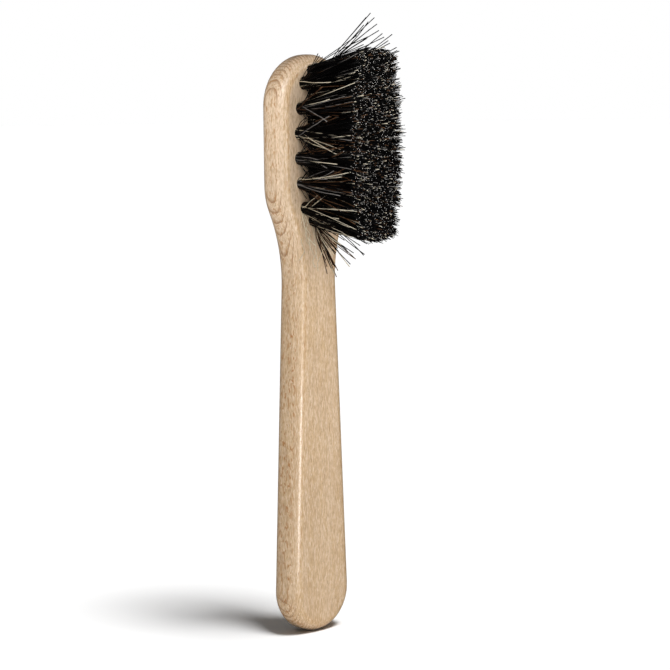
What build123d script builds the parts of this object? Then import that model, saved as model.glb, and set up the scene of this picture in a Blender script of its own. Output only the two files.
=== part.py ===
from build123d import *
import os
from math import acos, atan, atan2, cos, degrees, hypot, sin, sqrt

# A small beekeeper's hand brush: a one-piece beech body, drawn through with short tufts of horsehair.
# Millimetres. +Z runs up the handle to the head, X is across the body, and the bristles point to -Y.
# The origin is the lowest point of the handle's rounded end, midway across and through the board.

# Wooden body
LENGTH = 190.0            # handle end to head end
THICKNESS = 11.0          # of the board that the body is cut from
HEAD_RADIUS = 16.9        # half the head's width, and the radius of its round end
END_RADIUS = 14.0         # radius of the handle's round end
NECK_HALF = 9.6           # half the width at the narrowest point
NECK_RADIUS = 50.0        # hollow sweep on each side of the neck
SHOULDER_RADIUS = 21.0    # round shoulder where the neck meets the head
SHOULDER_Z = 148.0        # where the shoulder meets the head's straight side
EDGE_RADIUS = 4.6         # rounding of the body's long edges

# Tufts
TUFT_PITCH = 8.0          # from tuft to tuft along a column
FIELD_Z = 160.6           # middle of the tufted field
INNER_X = 3.0             # the two inner columns, either side of the middle
OUTER_X = 9.0             # the two outer columns, at the middle of the field
OUTER_BOW = 29.4          # half-length of the ellipse that the outer columns follow
INNER_COUNT = 7
OUTER_COUNT = 6           # half a pitch out of step with the inner columns
BRISTLE_LENGTH = 25.6     # from the wooden face to the trimmed ends
FAN_RADIUS = 170.0        # the tufts lean away from a line this far behind the face
HOLE_RADIUS = 2.1
HOLE_DEPTH = 7.0
TIP_RADIUS = 2.7          # of a tuft at its trimmed end
COLLAR = 0.5              # how far a tuft stays as narrow as its hole before it opens
CLEAR = 5.0               # overrun of the cutting shapes

# Flat wire anchors, one across the fold of each tuft
ANCHOR_LENGTH = 5.2       # longer than the hole is wide, so that both ends bite the wood
ANCHOR_HEIGHT = 1.6
ANCHOR_THICKNESS = 0.45
ANCHOR_FLOOR = 1.2        # hair between the anchor and the bottom of the hole

BOTTOM = (Align.CENTER, Align.CENTER, Align.MIN)
FACE_Y = -THICKNESS / 2
TRIM_Y = FACE_Y - BRISTLE_LENGTH


def body_outline():
    """The right half of the body's outline, from handle end to head end, and its mirror image."""
    sweep = NECK_RADIUS + SHOULDER_RADIUS
    across = sweep - (HEAD_RADIUS - NECK_HALF)
    neck_z = SHOULDER_Z - sqrt(sweep**2 - across**2)
    neck_centre = Vector(NECK_HALF + NECK_RADIUS, neck_z)
    shoulder_centre = Vector(HEAD_RADIUS - SHOULDER_RADIUS, SHOULDER_Z)
    end_centre = Vector(0, END_RADIUS)

    # The straight taper touches the round end on one side and the neck's hollow sweep on the other.
    between = neck_centre - end_centre
    lean = degrees(
        atan2(between.Y, between.X)
        - acos((END_RADIUS + NECK_RADIUS) / hypot(between.X, between.Y))
    )
    turn = degrees(atan2(SHOULDER_Z - neck_z, across))

    round_end = CenterArc(end_centre, END_RADIUS, -90, 90 + lean)
    hollow = CenterArc(neck_centre, NECK_RADIUS, 180 + lean, -(lean + turn))
    shoulder = CenterArc(shoulder_centre, SHOULDER_RADIUS, -turn, turn)
    head_end = CenterArc((0, LENGTH - HEAD_RADIUS), HEAD_RADIUS, 0, 90)
    taper = Line(round_end @ 1, hollow @ 0)
    head_side = Line(shoulder @ 1, head_end @ 0)
    middle = Line(head_end @ 1, round_end @ 0)
    half = make_face([round_end, taper, hollow, shoulder, head_side, head_end, middle])
    return half + mirror(half, Plane.YZ)


def blank():
    """The shaped wooden body before drilling, with its long edges rounded."""
    board = extrude(Plane.XZ * body_outline(), THICKNESS / 2, both=True)
    rims = board.faces().sort_by(Axis.Y)[0].edges() + board.faces().sort_by(Axis.Y)[-1].edges()
    return fillet(rims, EDGE_RADIUS)


def tuft_plane(x, rise):
    """A tuft's own frame: its origin on the wooden face, its Z along the bristles, its X across the head."""
    lean = atan(rise / FAN_RADIUS)
    return Plane(origin=(x, FACE_Y, FIELD_Z + rise), x_dir=(1, 0, 0), z_dir=(0, -cos(lean), sin(lean)))


def column_planes(side, count, half_width, bow):
    """The tuft frames of one column, lowest first. With a bow, the column follows an ellipse."""
    planes = []
    for index in range(count):
        rise = (index - (count - 1) / 2) * TUFT_PITCH
        x = half_width * sqrt(1 - (rise / bow) ** 2) if bow else half_width
        planes.append(tuft_plane(side * x, rise))
    return planes


def tuft_hole(plane):
    """The blind hole that a tuft is set in."""
    return plane * Pos(0, 0, -HOLE_DEPTH) * Cylinder(HOLE_RADIUS, HOLE_DEPTH + CLEAR, align=BOTTOM)


def anchor(plane):
    """The flat wire driven across the hole, over the fold of the tuft."""
    strip = Box(ANCHOR_LENGTH, ANCHOR_THICKNESS, ANCHOR_HEIGHT, align=BOTTOM)
    return plane * Pos(0, 0, ANCHOR_FLOOR - HOLE_DEPTH) * strip


def tuft(plane):
    """A bundle of hair: a stem that fills the hole, opening to a head that is trimmed level."""
    reach = BRISTLE_LENGTH + CLEAR
    tip_radius = HOLE_RADIUS + (TIP_RADIUS - HOLE_RADIUS) * reach / BRISTLE_LENGTH
    stem = Pos(0, 0, -HOLE_DEPTH) * Cylinder(HOLE_RADIUS, HOLE_DEPTH + COLLAR, align=BOTTOM)
    brush = Pos(0, 0, COLLAR) * Cone(HOLE_RADIUS, tip_radius, reach, align=BOTTOM)
    trim = Pos(0, TRIM_Y, FIELD_Z) * Box(LENGTH, LENGTH, LENGTH, align=(Align.CENTER, Align.MAX, Align.CENTER))
    return plane * (stem + brush) - trim - anchor(plane)


def save(shape, node):
    shape.label = node
    export_step(shape, f"parts/{node}.step")


columns = {
    "outer_left": column_planes(-1, OUTER_COUNT, OUTER_X, OUTER_BOW),
    "inner_left": column_planes(-1, INNER_COUNT, INNER_X, None),
    "inner_right": column_planes(1, INNER_COUNT, INNER_X, None),
    "outer_right": column_planes(1, OUTER_COUNT, OUTER_X, OUTER_BOW),
}

os.makedirs("parts", exist_ok=True)
body = blank()
for column, planes in columns.items():
    for number, plane in enumerate(planes, start=1):
        body = body - tuft_hole(plane) - anchor(plane)
        save(tuft(plane), f"tuft_{column}_{number}")
    save(Compound([anchor(plane) for plane in planes]), f"anchors_{column}")
save(body, "beech_body")
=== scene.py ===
import math
from dataclasses import dataclass

import bpy
import numpy as np
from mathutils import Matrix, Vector


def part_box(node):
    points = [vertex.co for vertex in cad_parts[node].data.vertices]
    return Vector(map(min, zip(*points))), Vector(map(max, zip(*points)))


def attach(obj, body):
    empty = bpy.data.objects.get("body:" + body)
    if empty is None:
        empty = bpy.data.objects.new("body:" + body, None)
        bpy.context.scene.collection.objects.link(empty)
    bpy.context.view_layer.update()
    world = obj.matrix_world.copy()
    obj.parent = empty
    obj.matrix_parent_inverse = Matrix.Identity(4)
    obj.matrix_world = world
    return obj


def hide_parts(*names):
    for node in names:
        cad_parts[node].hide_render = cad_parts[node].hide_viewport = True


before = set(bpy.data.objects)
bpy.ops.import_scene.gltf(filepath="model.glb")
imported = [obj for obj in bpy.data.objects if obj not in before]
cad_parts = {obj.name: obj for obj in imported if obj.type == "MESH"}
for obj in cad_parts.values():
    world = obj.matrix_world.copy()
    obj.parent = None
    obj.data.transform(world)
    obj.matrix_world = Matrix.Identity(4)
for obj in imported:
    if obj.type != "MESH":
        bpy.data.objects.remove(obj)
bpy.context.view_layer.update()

# A small beech hand brush with horsehair tufts.
# Metres, in the CAD frame: +Z up the handle, the bristles to -Y.
MM = 0.001
BODY = "beech_body"

# ---------------------------------------------------------------- camera and surround
CAMERA_AZIMUTH = -45.3      # degrees, 0 looks along +Y
CAMERA_ELEVATION = 6.15
CAMERA_ROLL = -0.64
CAMERA_DISTANCE = 0.70
CAMERA_LENS = 114.3
CAMERA_SHIFT = (0.0387, 0.0159)
SURROUND_LIGHT = 0.06       # strength of the white surround as a light; the camera sees it at full white
FLOOR_HALF = 40.0
MIDDLE = (0, 0, 0.1)        # about the middle of the brush, where the large lamps point

# ---------------------------------------------------------------- wood
LAYER_PITCH = 1.25          # millimetres through the wood from one growth layer to the next
LAYER_BOW = 0.04            # how much the layers bow through the board, per square millimetre
LAYER_SWAY = 3.0            # millimetres, slow waves of a layer
LAYER_RIPPLE = 0.22         # millimetres, quick waves of a layer
LAYER_OFFSET = 100.0        # keeps the count of layers positive over the whole board
WOOD_LIGHT = (0.72, 0.520, 0.330, 1)
WOOD_DARK = (0.64, 0.445, 0.265, 1)
WOOD_HONEY = (0.66, 0.445, 0.235, 1)
WOOD_LATE = (0.53, 0.345, 0.190, 1)
WOOD_PALE = (0.86, 0.69, 0.520, 1)
WOOD_PORE = (0.42, 0.265, 0.140, 1)
WOOD_LINE = (0.33, 0.165, 0.070, 1)
WOOD_RAY = (0.46, 0.235, 0.085, 1)
WOOD_FLECK = (0.42, 0.180, 0.050, 1)
PAINTED_LIGHT_HEIGHTS = (105.0, 150.0)      # heights in millimetres between which the wood is painted paler towards the head, as painted light
FAINTER = (100.0, 145.0)    # heights in millimetres between which the flecks grow fainter

# Noise scales, per millimetre through the layers, through the board and up the handle.
PORE_SCALE = (2.6, 1.9, 0.75)
DASH_SCALE = (2.4, 1.40, 0.36)
FLECK_SCALE = (1.5, 0.95, 0.55)
FIBRE_SCALE = (3.2, 3.2, 0.54)
CLOUD_SCALE = (0.22, 0.12, 0.030)
TINT_SCALE = (0.55, 0.30, 0.07)

# ---------------------------------------------------------------- hair
HAIRS = 400                 # per tuft
HAIR_RADIUS = (0.076 * MM, 0.120 * MM)
STRAY_RADIUS = 0.14 * MM
CROSSING_RADIUS = 0.115 * MM
HAIR_SIDES = 5
HAIR_STEPS = 7              # rings along one hair, from the mouth of the hole
ROOT_DEPTH = 5.0 * MM       # how far a hair goes down its hole
ROOT_FILL = 0.95            # of the hole's radius
ROOT_SCATTER = 0.045        # of the hole's radius
ROOT_SHARE = 0.97           # how much of its place at the mouth a hair keeps at its root
END_SWELL = 1.10            # the trimmed end is a little thicker than the hair
PAINTED_GLINT_SHARE = 0.14            # hairs whose trimmed end is painted pale, a painted glint of light on the end
GOLDEN_ANGLE = math.pi * (3 - math.sqrt(5))
ANY_TURN = 6.28             # radians
NO_HAIR_WAY = (1.0, 0.12, 0.05)       # a direction that no hair follows
STEM_END = 0.9 * MM         # the buried end of a CAD tuft, which gives its foot and its radius
TRIM_SLICE = 0.05 * MM      # the trimmed end of a CAD tuft, which gives the middle of its tip

TIP_SPREAD = (3.15 * MM, 4.65 * MM)   # half-width of a tuft's trimmed end, across the head and along it
TIP_SQUARENESS = 0.8                  # 0 is a round end, 1 is a square one
TIP_SCATTER = 0.35 * MM
WILD_SHARE = 0.16                     # hairs that end away from their neighbours
WILD_SCATTER = (1.2 * MM, 2.4 * MM)
OPENING = (1.05, 1.55)                # over 1, a hair stays with the bundle near the mouth and opens late
BOW_SCATTER = 0.28 * MM
HOOKED_SHARE = 0.30
HOOK_SCATTER = 0.36 * MM
HOOK_FOLLOW = 0.25                    # how much the ring before the end follows a hook
BLOCK_HALF = (11.9 * MM, 30.4 * MM)   # half-width of the whole trimmed block
BLOCK_SQUARENESS = 6.0                # the power of the superellipse that bounds the block
BLOCK_RAGGEDNESS = (0.93, 1.02)
OUTER_STRETCH = 1.08                  # the outer columns are shorter, and open further to fill the corners

TRIM_SCATTER = 0.26 * MM
SHORT_SHARE = 0.10
SHORT_BY = (0.4 * MM, 3.6 * MM)
LONG_SHARE = 0.08
LONG_BY = (0.3 * MM, 2.3 * MM)

HAIR_SHINE = 0.05
SHADE_TO_LIGHT_SPAN = (-9.0, -29.0)           # millimetres in Y, over which the painted shade at a hair's root gives way to the painted light at its tip
HAIR_COLOURS = {            # the hair's own colour, painted darker at the root as shade deep in the tuft and lighter at the tip as light on the trimmed end
    "black": ((0.0006, 0.0006, 0.0006), (0.0018, 0.0016, 0.0017)),
    "soot": ((0.003, 0.0025, 0.0025), (0.012, 0.011, 0.011)),
    "brown": ((0.040, 0.018, 0.009), (0.15, 0.078, 0.040)),
    "grey": ((0.10, 0.09, 0.085), (0.30, 0.28, 0.26)),
    "cream": ((0.54, 0.45, 0.31), (0.84, 0.76, 0.60)),
}
# Painted glint: the pale colour of a trimmed end that catches the light, as a root and tip pair.
PAINTED_GLINT_END = ((0.40, 0.39, 0.37), (0.92, 0.89, 0.85))
PALETTE = tuple(HAIR_COLOURS) + ("painted_glint_end",)
BASE_ODDS = {"black": 0.78, "soot": 0.12, "brown": 0.045, "grey": 0.025, "cream": 0.03}

# ---------------------------------------------------------------- loose hair
DARK = ("black", "black", "soot")
MIXED = ("black", "black", "soot", "brown", "brown", "cream")
PALE = ("cream", "cream", "grey", "brown", "brown")
HOLE_TOP = 1.2 * MM         # from a hole's middle up the head
HOLE_LOW = -1.2 * MM
HOLE_NEAR = -1.75 * MM      # from a hole's middle across the head, to -X
START_SCATTER = (0.8 * MM, 0.4 * MM)
LEAN_SCATTER = 1.5          # degrees
TUFT_WAY = 0.45             # the share of its tuft's direction that a loose hair leaves the hole with
TURN_RATE = 3.0             # a loose hair has turned to its own lean a third of the way out
BEND_RATE = 2.0             # its kinks are full from half way out
SAG_SCATTER = 0.35 * MM
# How many loose hairs lie across the near side of each outer tuft, and how far they lean, in degrees.
CROSSING = {1: (9, 18), 2: (15, 14), 3: (11, 11), 4: (12, 18), 5: (8, 14), 6: (3, 6)}
CROSSING_LENGTH = (11 * MM, 25 * MM)
CROSSING_ARC = 70           # degrees either way round the near rim of the hole


def rng_for(name):
    """A random generator that depends on the name alone, so every run is the same."""
    return np.random.default_rng(sum((i + 1) * ord(c) for i, c in enumerate(name)))


def block_middle():
    """The height of the middle of the trimmed block."""
    boxes = [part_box(node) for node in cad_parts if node.startswith("tuft_")]
    return (min(low.z for low, high in boxes) + max(high.z for low, high in boxes)) / 2


BLOCK_MIDDLE = block_middle()


# ================================================================ materials
class Nodes:
    """A short way to write a node tree."""

    def __init__(self, name):
        self.mat = bpy.data.materials.new(name)
        self.mat.use_nodes = True
        self.tree = self.mat.node_tree
        self.shader = self.tree.nodes["Principled BSDF"]

    def add(self, kind, **settings):
        node = self.tree.nodes.new("ShaderNode" + kind)
        for key, value in settings.items():
            setattr(node, key, value)
        return node

    def feed(self, socket, value):
        if isinstance(value, bpy.types.NodeSocket):
            self.tree.links.new(value, socket)
        else:
            socket.default_value = value

    def maths(self, operation, a, b=0.0, clamp=False):
        node = self.add("Math", operation=operation, use_clamp=clamp)
        self.feed(node.inputs[0], a)
        self.feed(node.inputs[1], b)
        return node.outputs[0]

    def times(self, a, b):
        return self.maths("MULTIPLY", a, b)

    def split(self, vector):
        node = self.add("SeparateXYZ")
        self.feed(node.inputs[0], vector)
        return node.outputs["X"], node.outputs["Y"], node.outputs["Z"]

    def join(self, *values):
        node = self.add("CombineXYZ")
        for socket, value in zip(node.inputs, values):
            self.feed(socket, value)
        return node.outputs[0]

    def scaled(self, vector, scale, location=(0, 0, 0)):
        node = self.add("Mapping")
        self.feed(node.inputs["Vector"], vector)
        node.inputs["Scale"].default_value = scale
        node.inputs["Location"].default_value = location
        return node.outputs[0]

    def millimetres(self, coords):
        """The place on the object, in millimetres."""
        return self.scaled(coords.outputs["Object"], (1000, 1000, 1000))

    def noise(self, vector, detail=2.0, roughness=0.5):
        node = self.add("TexNoise")
        self.feed(node.inputs["Vector"], vector)
        node.inputs["Scale"].default_value = 1.0
        node.inputs["Detail"].default_value = detail
        node.inputs["Roughness"].default_value = roughness
        return node.outputs["Fac"]

    def remap(self, value, low, high, to_low=0.0, to_high=1.0, smooth=False):
        node = self.add("MapRange", interpolation_type="SMOOTHSTEP" if smooth else "LINEAR")
        self.feed(node.inputs[0], value)
        for socket, number in zip(node.inputs[1:5], (low, high, to_low, to_high)):
            socket.default_value = number
        return node.outputs[0]

    def mix(self, factor, a, b):
        node = self.add("Mix", data_type="RGBA", blend_type="MIX")
        self.feed(node.inputs["Factor"], factor)
        self.feed(node.inputs["A"], a)
        self.feed(node.inputs["B"], b)
        return node.outputs["Result"]

    def bump(self, height, strength, distance):
        node = self.add("Bump")
        node.inputs["Strength"].default_value = strength
        node.inputs["Distance"].default_value = distance
        self.feed(node.inputs["Height"], height)
        self.tree.links.new(node.outputs[0], self.shader.inputs["Normal"])

    def shade(self, **sockets):
        for name, value in sockets.items():
            self.feed(self.shader.inputs[name.replace("_", " ")], value)
        return self.mat


def growth_layers(n, mm):
    """How deep a place lies through the growth layers, in millimetres, and how far through its own layer,
    from 0 to 1. Each layer is a gently wavy sheet on edge in the board, bowed through its thickness."""
    x, y, _ = n.split(mm)
    sway = n.remap(n.noise(n.scaled(mm, (0.04, 0.04, 0.013)), 1.0), 0.0, 1.0, -LAYER_SWAY, LAYER_SWAY)
    ripple = n.remap(n.noise(n.scaled(mm, (0.3, 0.3, 0.08))), 0.0, 1.0, -LAYER_RIPPLE, LAYER_RIPPLE)
    bow = n.times(n.times(y, y), LAYER_BOW)
    depth = n.maths("ADD", n.maths("ADD", x, bow), n.maths("ADD", sway, ripple))
    uneven = n.maths("ADD", depth, n.noise(n.join(n.times(depth, 0.5)), 1.0))
    layers = n.maths("DIVIDE", n.maths("ADD", uneven, LAYER_OFFSET), LAYER_PITCH)
    return depth, n.maths("FRACT", layers)


def late_lines(n, layer, slope):
    """The dark line that ends each layer: thin and faint along the grain, broad where it is cut across."""
    line = n.times(n.remap(layer, 0.72, 0.92, smooth=True), n.remap(layer, 0.95, 1.0, 1.0, 0.0))
    line = n.times(line, n.remap(slope, 0.03, 0.16, 0.15, 1.0))
    broad = n.remap(layer, 0.50, 0.82, smooth=True)
    end = n.remap(slope, 0.20, 0.55, 0.0, 0.68, smooth=True)
    return n.maths("MAXIMUM", line, n.times(broad, end))


def beech():
    """Sanded, waxed beech. The faces show the growth layers as fine upright lines, and the rounded sides
    slice them into arches. Pores, dashes and flecks are drawn out along the layers and the handle."""
    n = Nodes("beech")
    coords = n.add("TexCoord")
    mm = n.millimetres(coords)
    _, y, z = n.split(mm)
    _, normal_y, normal_z = n.split(coords.outputs["Normal"])
    level = n.maths("ABSOLUTE", normal_y)
    slope = n.maths("ABSOLUTE", normal_z)
    side = n.remap(level, 0.85, 0.40, smooth=True)
    # Painted shade: a warmer, darker band where a rounded edge runs out into the flat face.
    rim = n.times(n.remap(level, 0.70, 0.92, smooth=True), n.remap(level, 0.999, 0.95, smooth=True))

    depth, layer = growth_layers(n, mm)
    line = late_lines(n, layer, slope)
    late_wood = n.remap(layer, 0.35, 0.95, smooth=True)
    broken = n.remap(n.noise(n.scaled(mm, (0.9, 0.9, 0.6), (6, 2, 4)), 1.0), 0.35, 0.58, 0.65, 1.0)

    # Each noise is moved to a place of its own, so that no two patterns fall together.
    grain = n.join(depth, y, z)
    pores = n.noise(n.scaled(grain, PORE_SCALE), 2.0, 0.6)
    dashes = n.noise(n.scaled(grain, DASH_SCALE, (5, 1, 3)), 1.0)
    flecks = n.noise(n.scaled(grain, FLECK_SCALE, (9, 4, 7)), 1.0)
    fibre = n.noise(n.scaled(grain, FIBRE_SCALE, (1, 8, 2)), 3.0, 0.65)
    cloud = n.noise(n.scaled(grain, CLOUD_SCALE, (2, 5, 8)))
    tint = n.noise(n.scaled(grain, TINT_SCALE, (11, 4, 2)))

    # How strong each mark is, from 0 to 1. All of them are stronger on the sides than on the faces.
    pore_mark = n.times(n.remap(pores, 0.53, 0.66, 0.0, 0.62), n.remap(side, 0.0, 1.0, 0.75, 1.0))
    # The dashes are also stronger in that band of painted shade along the edge.
    on_side = n.maths("MAXIMUM", n.remap(side, 0.0, 1.0, 0.30, 1.0), rim)
    dash_mark = n.times(n.remap(dashes, 0.575, 0.66, 0.0, 0.72, smooth=True), on_side)
    fleck_mark = n.times(n.remap(flecks, 0.625, 0.69, 0.0, 0.80, smooth=True), n.remap(side, 0.2, 0.9))
    fleck_mark = n.times(fleck_mark, n.remap(z, *FAINTER, 1.0, 0.55))
    line_mark = n.times(n.times(line, broken), n.remap(side, 0.0, 1.0, 0.12, 0.88))
    late_mark = n.times(late_wood, n.remap(side, 0.0, 1.0, 0.10, 0.24))
    honey = n.maths("MAXIMUM", n.remap(tint, 0.42, 0.66, 0.0, 0.65), n.remap(side, 0.0, 1.0, 0.0, 0.34))

    colour = n.mix(n.remap(cloud, 0.35, 0.65), WOOD_DARK, WOOD_LIGHT)
    colour = n.mix(honey, colour, WOOD_HONEY)
    # Painted light: the wood is painted paler up towards the head, which stands in brighter light.
    colour = n.mix(n.remap(z, *PAINTED_LIGHT_HEIGHTS, 0.0, 0.46), colour, WOOD_PALE)
    # Painted shade along the edge, where the rounding runs out into the flat face.
    colour = n.mix(n.times(rim, 0.90), colour, WOOD_HONEY)
    colour = n.mix(late_mark, colour, WOOD_LATE)
    colour = n.mix(pore_mark, colour, WOOD_PORE)
    colour = n.mix(n.remap(fibre, 0.50, 0.66, 0.0, 0.54), colour, WOOD_PORE)
    colour = n.mix(n.remap(fibre, 0.50, 0.34, 0.0, 0.66), colour, WOOD_PALE)
    colour = n.mix(line_mark, colour, WOOD_LINE)
    colour = n.mix(dash_mark, colour, WOOD_RAY)
    colour = n.mix(fleck_mark, colour, WOOD_FLECK)

    rough = n.remap(fibre, 0.3, 0.75, 0.42, 0.58)
    n.bump(n.maths("ADD", fibre, pores), 0.35, 0.05 * MM)
    wax = {"Coat_Weight": 0.9, "Coat_Roughness": 0.20, "Coat_IOR": 1.55}
    return n.shade(Base_Color=colour, Roughness=rough, Specular_IOR_Level=0.35, **wax)


def hair(name, root, tip, roughness=0.32):
    """One colour of hair: painted darker at the root, as shade deep in the tuft, and lighter towards the
    tip, as light on the trimmed end; a little uneven along its length.
    """
    n = Nodes(name)
    mm = n.millimetres(n.add("TexCoord"))
    _, y, _ = n.split(mm)
    # Painted shade at the root gives way to painted light towards the tip.
    out = n.remap(y, *SHADE_TO_LIGHT_SPAN)
    streak = n.noise(n.scaled(mm, (2.2, 0.35, 2.2)))
    along = n.maths("ADD", n.times(out, 0.65), n.remap(streak, 0.3, 0.7, -0.2, 0.45), clamp=True)
    colour = n.mix(along, (*root, 1), (*tip, 1))
    return n.shade(Base_Color=colour, Roughness=roughness, Specular_IOR_Level=HAIR_SHINE)


def hair_materials():
    """One material for each colour of hair and one for the painted glint on a trimmed end, in the order of
    PALETTE.
    """
    materials = [hair("hair_" + name, *pair) for name, pair in HAIR_COLOURS.items()]
    return materials + [hair("hair_cut_end", *PAINTED_GLINT_END, roughness=0.6)]


def wire():
    """Flat galvanised wire, drawn along its length."""
    n = Nodes("anchor_wire")
    mm = n.millimetres(n.add("TexCoord"))
    drawn = n.noise(n.scaled(mm, (0.8, 14, 14)))
    colour = n.mix(n.remap(drawn, 0.3, 0.7), (0.50, 0.50, 0.49, 1), (0.66, 0.66, 0.65, 1))
    n.bump(drawn, 0.3, 0.02 * MM)
    return n.shade(Base_Color=colour, Metallic=1.0, Roughness=n.remap(drawn, 0.3, 0.7, 0.28, 0.45))


def set_material(node, material):
    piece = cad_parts[node]
    piece.data.materials.clear()
    piece.data.materials.append(material)


# ================================================================ hair meshes
def strand_rings(points, radius):
    """Rings of vertices round each strand. points is (strands, steps, 3) and radius is (strands, steps)."""
    tangent = np.gradient(points, axis=1)
    tangent /= np.linalg.norm(tangent, axis=2, keepdims=True)
    across = np.cross(tangent, np.array(NO_HAIR_WAY))
    across /= np.linalg.norm(across, axis=2, keepdims=True)
    other = np.cross(tangent, across)
    angle = np.arange(HAIR_SIDES) * 2 * math.pi / HAIR_SIDES
    ring = across[:, :, None] * np.cos(angle)[:, None] + other[:, :, None] * np.sin(angle)[:, None]
    return points[:, :, None] + ring * radius[:, :, None, None]


def strand_faces(start, steps):
    """The faces of one closed tube whose rings begin at vertex start: its sides, root cap and end cap."""
    faces = []
    end = start + (steps - 1) * HAIR_SIDES
    for low in range(start, end, HAIR_SIDES):
        for k in range(HAIR_SIDES):
            k2 = (k + 1) % HAIR_SIDES
            faces.append((low + k, low + k2, low + HAIR_SIDES + k2, low + HAIR_SIDES + k))
    faces.append(tuple(range(start + HAIR_SIDES - 1, start - 1, -1)))
    faces.append(tuple(range(end, end + HAIR_SIDES)))
    return faces


def strands_mesh(name, points, radius, colours, cut):
    """One mesh of closed tubes. colours is a palette index per strand, and cut says whose trimmed ends are
    painted pale, a painted glint.
    """
    strands, steps, _ = points.shape
    faces = []
    slots = []
    smooth = []
    for strand in range(strands):
        tube = strand_faces(strand * steps * HAIR_SIDES, steps)
        # The end cap of some hairs is painted pale, a painted glint.
        end_colour = PALETTE.index("painted_glint_end") if cut[strand] else colours[strand]
        faces += tube
        slots += [colours[strand]] * (len(tube) - 1) + [end_colour]
        smooth += [True] * (len(tube) - 2) + [False, False]
    mesh = bpy.data.meshes.new(name)
    mesh.from_pydata(strand_rings(points, radius).reshape(-1, 3).tolist(), [], faces)
    mesh.polygons.foreach_set("material_index", np.array(slots, dtype=np.int32))
    mesh.polygons.foreach_set("use_smooth", np.array(smooth))
    mesh.update()
    return mesh


class Tuft:
    """Where one CAD tuft stands: the mouth of its hole, its axis, and the ways across and along the head."""

    def __init__(self, node):
        self.name = node
        corners = np.array([v.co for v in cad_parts[node].data.vertices])
        self.trim_y = corners[:, 1].min()
        stem = corners[corners[:, 1] > corners[:, 1].max() - STEM_END]
        foot = stem.mean(axis=0)
        self.tip = corners[corners[:, 1] < self.trim_y + TRIM_SLICE].mean(axis=0)
        self.axis = (self.tip - foot) / np.linalg.norm(self.tip - foot)
        self.mouth = foot + self.axis * (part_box(BODY)[0].y - foot[1]) / self.axis[1]
        self.across = np.array([1.0, 0.0, 0.0])
        self.along = np.cross(self.axis, self.across)
        self.radius = (stem[:, 0].max() - stem[:, 0].min()) / 2

    def place(self, offset, distance):
        """Points at an offset across and along the head, and at a distance out of the mouth."""
        return (
            self.mouth
            + self.across * offset[..., 0:1]
            + self.along * offset[..., 1:2]
            + self.axis * distance[..., None]
        )


def packed_disc(rng):
    """Evenly packed points of a unit disc, a little disturbed."""
    index = np.arange(HAIRS)
    reach = np.sqrt((index + 0.5) / HAIRS)
    angle = index * GOLDEN_ANGLE + rng.uniform(0, ANY_TURN)
    disc = np.stack([reach * np.cos(angle), reach * np.sin(angle)], 1)
    disc += rng.normal(0, ROOT_SCATTER, disc.shape)
    return disc / np.maximum(1.0, np.linalg.norm(disc, axis=1, keepdims=True))


def towards_square(disc, amount):
    """Points of a disc moved part of the way out to the square round it."""
    reach = np.linalg.norm(disc, axis=1)
    widest = np.abs(disc).max(axis=1)
    return disc * (1 + amount * (reach / np.maximum(widest, 1e-6) - 1))[:, None]


def within_block(tuft, tip, rng):
    """Tip offsets drawn in to the rounded outline of the trimmed block."""
    place = tip + np.array([tuft.tip[0], tuft.tip[2] - BLOCK_MIDDLE])
    share = np.abs(place) / np.array(BLOCK_HALF)
    beyond = (share ** BLOCK_SQUARENESS).sum(axis=1) ** (1 / BLOCK_SQUARENESS)
    limit = rng.uniform(*BLOCK_RAGGEDNESS, len(tip))
    scale = np.minimum(1.0, limit / beyond)
    return tip + place * (scale - 1)[:, None]


def tip_offsets(tuft, disc, rng):
    """Where the hairs of a tuft end, across and along the head."""
    tip = towards_square(disc, TIP_SQUARENESS) * np.array(TIP_SPREAD)
    tip += rng.normal(0, TIP_SCATTER, disc.shape)
    if "outer" in tuft.name:
        tip[:, 1] += (tuft.tip[2] - BLOCK_MIDDLE + tip[:, 1]) * (OUTER_STRETCH - 1)
    tip = within_block(tuft, tip, rng)
    wild = rng.random(HAIRS) < WILD_SHARE
    tip[wild] += rng.normal(0, 1.0, (wild.sum(), 2)) * np.array(WILD_SCATTER)
    return within_block(tuft, tip, rng)


def trimmed_lengths(tuft, tip, rng):
    """How far each hair goes out of the mouth to reach the trimmed level, with some short and some long."""
    length = (tuft.trim_y - tuft.mouth[1] - tuft.along[1] * tip[:, 1]) / tuft.axis[1]
    length += rng.normal(0, TRIM_SCATTER, HAIRS)
    short = rng.random(HAIRS) < SHORT_SHARE
    length[short] -= rng.uniform(*SHORT_BY, short.sum())
    long = rng.random(HAIRS) < LONG_SHARE
    length[long] += rng.uniform(*LONG_BY, long.sum())
    return length


def tuft_points(tuft, rng):
    """The hairs of one tuft: packed in the hole, opening to a level trimmed end."""
    disc = packed_disc(rng)
    root = disc * tuft.radius * ROOT_FILL
    tip = tip_offsets(tuft, disc, rng)

    t = np.linspace(0, 1, HAIR_STEPS)
    spread = t[None, :] ** rng.uniform(*OPENING, HAIRS)[:, None]
    bow = rng.normal(0, BOW_SCATTER, (HAIRS, 2))
    wave = np.sin(math.pi * t)[None, :, None] * bow[:, None, :]
    offset = root[:, None] + (tip - root)[:, None] * spread[:, :, None] + wave
    length = trimmed_lengths(tuft, tip, rng)

    hooked = rng.random(HAIRS) < HOOKED_SHARE
    hook = rng.normal(0, HOOK_SCATTER, (HAIRS, 2)) * hooked[:, None]
    offset[:, -1] += hook
    offset[:, -2] += hook * HOOK_FOLLOW

    path = tuft.place(offset, length[:, None] * t[None, :])
    inside = tuft.place(root * ROOT_SHARE, np.full(HAIRS, -ROOT_DEPTH))
    return np.concatenate([inside[:, None], path], axis=1)


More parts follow.
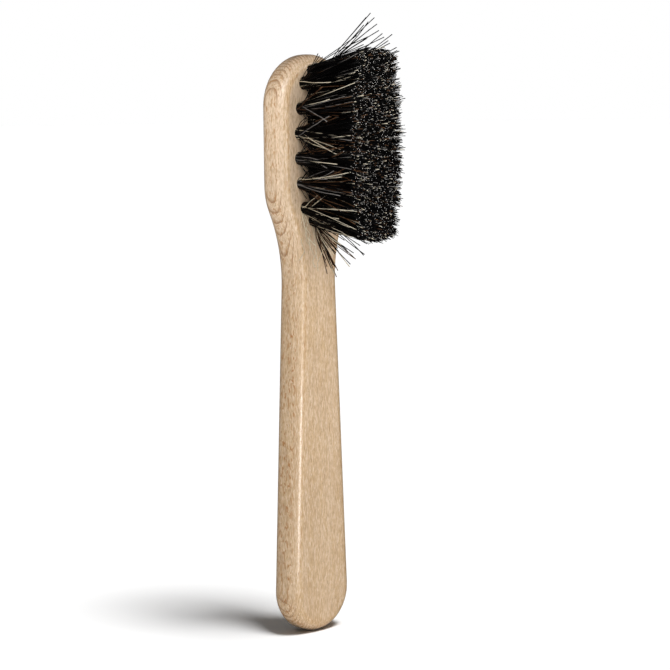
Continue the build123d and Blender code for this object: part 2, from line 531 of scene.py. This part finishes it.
def pick_colours(count, rng):
    names = list(BASE_ODDS)
    weights = np.array([BASE_ODDS[name] for name in names])
    drawn = rng.choice(len(names), size=count, p=weights / weights.sum())
    return np.array([PALETTE.index(names[i]) for i in drawn])


@dataclass
class Stray:
    """One loose hair. lean is in degrees up the head, sway is in degrees across it, and start is where it
    leaves the hole."""

    lean: float
    length: float
    sway: float
    colour: str
    kink: float
    radius: float
    start: tuple


def stray_points(tuft, rng, stray):
    """A loose hair's path: it leaves the mouth with the tuft and turns towards its own lean."""
    t = np.linspace(0, 1, HAIR_STEPS)
    angle = math.radians(stray.lean)
    turn = math.radians(stray.sway)
    heading = (
        tuft.along * math.sin(angle)
        + np.array([0.0, -1.0, 0.0]) * math.cos(angle) * math.cos(turn)
        + tuft.across * math.cos(angle) * math.sin(turn)
    )
    start = np.array(stray.start)
    start *= min(1.0, ROOT_FILL * tuft.radius / np.linalg.norm(start))
    base = tuft.mouth + tuft.across * start[0] + tuft.along * start[1]
    blend = np.minimum(1.0, t * TURN_RATE)[:, None]
    way = heading * (1 - TUFT_WAY + TUFT_WAY * blend) + tuft.axis * TUFT_WAY * (1 - blend)
    path = base + stray.length * t[:, None] * way
    sag = np.sin(math.pi * t)[:, None] * rng.normal(0, SAG_SCATTER, 3)
    bends = rng.normal(0, stray.kink, (HAIR_STEPS, 3)) * np.minimum(1.0, t * BEND_RATE)[:, None]
    inside = base - tuft.axis * ROOT_DEPTH
    return np.vstack([inside, path + sag + bends])


def make_tuft(node, strays, materials):
    """The piece that replaces one CAD tuft: its own hairs and its loose ones."""
    tuft = Tuft(node)
    rng = rng_for(node)
    points = tuft_points(tuft, rng)
    colours = pick_colours(HAIRS, rng)
    thickness = rng.uniform(*HAIR_RADIUS, HAIRS)
    if strays:
        points = np.concatenate([points, [stray_points(tuft, rng, stray) for stray in strays]])
        colours = np.append(colours, [PALETTE.index(stray.colour) for stray in strays])
        thickness = np.append(thickness, [stray.radius for stray in strays])
    taper = np.ones(points.shape[1])
    taper[-1] = END_SWELL
    # Some trimmed ends are painted pale, a painted glint.
    cut = rng.random(len(points)) < PAINTED_GLINT_SHARE
    mesh = strands_mesh("hair_" + node, points, thickness[:, None] * taper, colours, cut)
    for material in materials:
        mesh.materials.append(material)
    piece = bpy.data.objects.new("hair_" + node, mesh)
    bpy.context.scene.collection.objects.link(piece)
    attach(piece, "root")
    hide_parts(node)


# ================================================================ loose hairs
def fan(rng, count, leans, lengths, colours, sways=(-12, 12), kink=0.0, start=(0, 0), radius=STRAY_RADIUS):
    """Loose hairs spread evenly over a range of leans."""
    made = []
    for lean in np.linspace(*leans, count):
        made.append(Stray(
            lean=lean + rng.normal(0, LEAN_SCATTER),
            length=rng.uniform(*lengths),
            sway=rng.uniform(*sways),
            colour=colours[rng.integers(len(colours))],
            kink=kink,
            radius=radius,
            start=tuple(at + rng.uniform(-by, by) for at, by in zip(start, START_SCATTER)),
        ))
    return made


def crossing(rng, count, reach):
    """Pale hairs across the near side of an outer tuft, from round the near rim of its hole."""
    made = []
    for angle in rng.uniform(-CROSSING_ARC, CROSSING_ARC, count):
        start = (HOLE_NEAR * math.cos(math.radians(angle)), HOLE_NEAR * math.sin(math.radians(angle)))
        lean = rng.normal(0, reach)
        made += fan(rng, 1, (lean, lean), CROSSING_LENGTH, PALE, (-9, 2), 0.07 * MM, start, CROSSING_RADIUS)
    return made


def flare(rng):
    """Short dark hairs that open the mouth of an outer tuft up and down the head."""
    start = (0.7 * HOLE_NEAR, 0)
    return fan(rng, 14, (-46, 46), (6 * MM, 15 * MM), DARK, (-10, 6), 0.06 * MM, start, CROSSING_RADIUS)


def loose_hairs():
    """The loose hairs of each tuft: those of the end tufts, above and below the trimmed block, and those
    that lie across the near side of the left outer column."""
    rng = rng_for("strays")
    top = (0, HOLE_TOP)
    low = (0, HOLE_LOW)
    off = (0.6 * MM, HOLE_LOW)
    near = (0.8 * HOLE_NEAR, HOLE_LOW)
    loose = {
        "tuft_inner_right_7": fan(rng, 10, (20, 41), (23 * MM, 27 * MM), DARK, (-4, 12), start=top),
        "tuft_inner_left_7": fan(rng, 4, (14, 24), (23 * MM, 26 * MM), DARK, start=top),
        "tuft_outer_right_6": fan(rng, 9, (14, 32), (26 * MM, 29 * MM), DARK, (4, 20), start=top),
        "tuft_outer_left_6": fan(rng, 6, (28, 42), (8 * MM, 13 * MM), ("brown", "soot"), start=top),
        "tuft_inner_left_1": fan(rng, 34, (-22, -66), (11 * MM, 21 * MM), MIXED, (-14, 14), start=off)
        + fan(rng, 3, (-40, -70), (14 * MM, 19 * MM), ("cream",), (-34, -6), 0.6 * MM, low),
        "tuft_inner_right_1": fan(rng, 5, (-10, -30), (20 * MM, 25 * MM), DARK, start=low),
        "tuft_outer_right_1": fan(rng, 5, (-6, -16), (23 * MM, 26 * MM), DARK, start=low),
    }
    for number, (count, reach) in CROSSING.items():
        node = f"tuft_outer_left_{number}"
        loose[node] = loose.get(node, []) + crossing(rng, count, reach) + flare(rng)
    curly = fan(rng, 4, (-78, -40), (12 * MM, 17 * MM), ("cream",), (-30, 0), 0.65 * MM, near)
    loose["tuft_outer_left_1"] += curly
    return loose


# ================================================================ stage
def make_floor():
    h = FLOOR_HALF
    mesh = bpy.data.meshes.new("floor")
    mesh.from_pydata([(-h, -h, 0), (h, -h, 0), (h, h, 0), (-h, h, 0)], [], [(0, 1, 2, 3)])
    floor = bpy.data.objects.new("floor", mesh)
    bpy.context.scene.collection.objects.link(floor)
    n = Nodes("floor_white")
    mesh.materials.append(n.shade(Base_Color=(0.90, 0.90, 0.90, 1), Roughness=0.9, Specular_IOR_Level=0.1))
    floor.visible_glossy = False
    return floor


def make_world():
    """A plain white surround: full white where it is seen, softer where it only lights."""
    world = bpy.data.worlds.new("studio")
    bpy.context.scene.world = world
    world.use_nodes = True
    tree = world.node_tree
    path = tree.nodes.new("ShaderNodeLightPath")
    level = tree.nodes.new("ShaderNodeMapRange")
    level.inputs["To Min"].default_value = SURROUND_LIGHT
    level.inputs["To Max"].default_value = 1.0
    tree.links.new(path.outputs["Is Camera Ray"], level.inputs["Value"])
    background = tree.nodes["Background"]
    background.inputs["Color"].default_value = (1, 1, 1, 1)
    tree.links.new(level.outputs[0], background.inputs["Strength"])


def direction(azimuth, elevation):
    """The way out from the object, from angles in degrees: azimuth 0 is to -Y, and -90 is to -X."""
    a = math.radians(azimuth)
    e = math.radians(elevation)
    return Vector((math.sin(a) * math.cos(e), -math.cos(a) * math.cos(e), math.sin(e)))


def make_camera():
    data = bpy.data.cameras.new("camera")
    data.lens = CAMERA_LENS
    data.shift_x, data.shift_y = CAMERA_SHIFT
    camera = bpy.data.objects.new("camera", data)
    bpy.context.scene.collection.objects.link(camera)
    low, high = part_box(BODY)
    back = direction(CAMERA_AZIMUTH, CAMERA_ELEVATION)
    camera.location = (low + high) / 2 + back * CAMERA_DISTANCE
    camera.rotation_euler = (-back).to_track_quat("-Z", "Y").to_matrix().to_4x4().to_euler()
    camera.rotation_euler.rotate_axis("Z", math.radians(CAMERA_ROLL))
    bpy.context.scene.camera = camera


def make_lamp(name, data, floor, state, azimuth, elevation, distance, target):
    """A lamp that faces its target. It lights only the floor, with state INCLUDE, or all but the floor, with
    EXCLUDE."""
    lamp = bpy.data.objects.new(name, data)
    bpy.context.scene.collection.objects.link(lamp)
    lamp.location = Vector(target) + direction(azimuth, elevation) * distance
    lamp.rotation_euler = (-direction(azimuth, elevation)).to_track_quat("-Z", "Y").to_euler()
    group = bpy.data.collections.new(name + "_receivers")
    group.objects.link(floor)
    group.collection_objects[0].light_linking.link_state = state
    lamp.light_linking.receiver_collection = group
    return lamp


def floor_sun(name, floor, azimuth, elevation, strength, spread):
    """A sun that lights the floor alone, where it casts the brush's shadow. spread softens the shadow."""
    data = bpy.data.lights.new(name, "SUN")
    data.energy = strength
    data.angle = math.radians(spread)
    make_lamp(name, data, floor, "INCLUDE", azimuth, elevation, distance=1.0, target=MIDDLE)


def panel(name, floor, azimuth, elevation, power, size, distance, target):
    """A soft rectangular lamp that lights the brush and leaves the floor alone."""
    data = bpy.data.lights.new(name, "AREA")
    data.energy = power
    data.shape = "RECTANGLE"
    data.size, data.size_y = size
    return make_lamp(name, data, floor, "EXCLUDE", azimuth, elevation, distance, target)


def light_brush(floor):
    """Two soft studio panels, two strips that only gleam along the near edge, and one on the head."""
    far = {"distance": 0.62, "target": MIDDLE}
    panel("front", floor, -47, 33, power=2.35, size=(0.45, 0.45), **far)
    panel("fill", floor, 32, 30, power=1.35, size=(0.4, 0.4), **far)
    strip = {"distance": 0.12, "azimuth": -11, "elevation": 0}
    edge = panel("edge", floor, power=0.062, size=(0.032, 0.07), target=(-0.009, 0, 0.036), **strip)
    rim = panel("rim", floor, power=0.036, size=(0.028, 0.135), target=(-0.010, 0, 0.128), **strip)
    beam = {"distance": 0.16, "target": (-0.015, 0, 0.172)}
    head = panel("head", floor, -88, 12, power=0.0030, size=(0.05, 0.05), **beam)
    for lamp in (edge, rim):
        lamp.visible_diffuse = False
    head.data.spread = math.radians(40)
    head.visible_glossy = False
    for lamp in (edge, rim, head):
        lamp.visible_camera = False


# ================================================================ build
set_material(BODY, beech())
anchor_material = wire()
tuft_materials = hair_materials()
loose = loose_hairs()
for node in sorted(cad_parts):
    if node.startswith("tuft_"):
        make_tuft(node, loose.get(node, []), tuft_materials)
    elif node.startswith("anchors_"):
        set_material(node, anchor_material)

floor = make_floor()
make_world()
make_camera()
floor_sun("floor_key", floor, 7, 71, strength=3.60, spread=19)
floor_sun("floor_back", floor, -125, 60, strength=0.20, spread=60)
light_brush(floor)
bpy.context.scene.view_settings.view_transform = "Standard"
